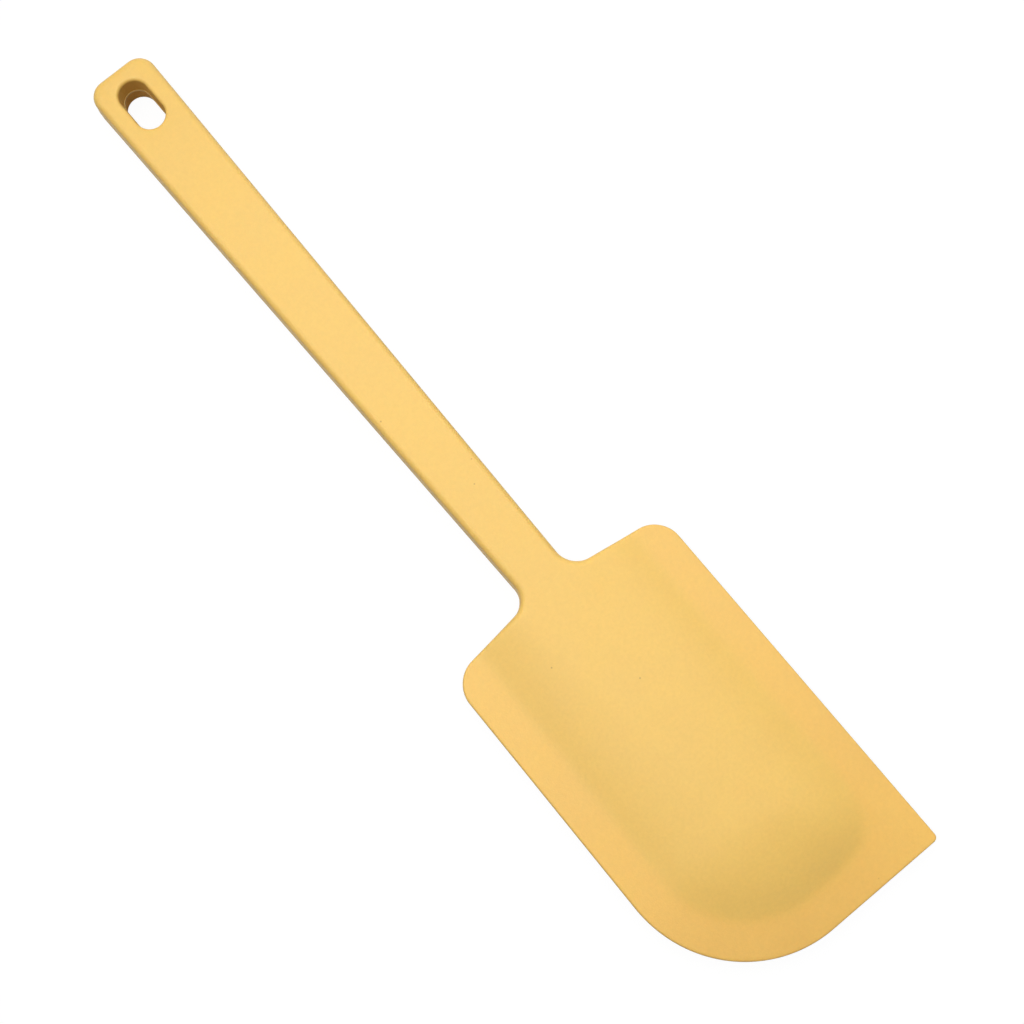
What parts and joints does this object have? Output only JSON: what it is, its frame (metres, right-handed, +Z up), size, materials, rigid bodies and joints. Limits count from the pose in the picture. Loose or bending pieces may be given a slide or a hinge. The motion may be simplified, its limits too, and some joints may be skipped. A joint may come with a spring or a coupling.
{
  "type": "silicone spatula",
  "caption": "Flat silicone spatula: crowned blade with a thin lip, one swept and one square corner, tapered handle with a hanging slot, moulded round a stiff core.",
  "frame": {"origin": "under the middle of the bounding box, on the surface that the spatula lies on", "axes": "+X across the blade towards its square corner, +Y along the handle from the blade's tip to the hanging slot, +Z up out of the upper face"},
  "size_m": [0.0624, 0.26, 0.01],
  "materials": {
    "silicone": "matte, honey yellow, slightly translucent at thin edges",
    "glass_filled_nylon": "satin moulded plastic, straw coloured"
  },
  "bodies": {
    "root": {"silicone_skin": "silicone", "nylon_core": "glass_filled_nylon"}
  },
  "joints": []
}
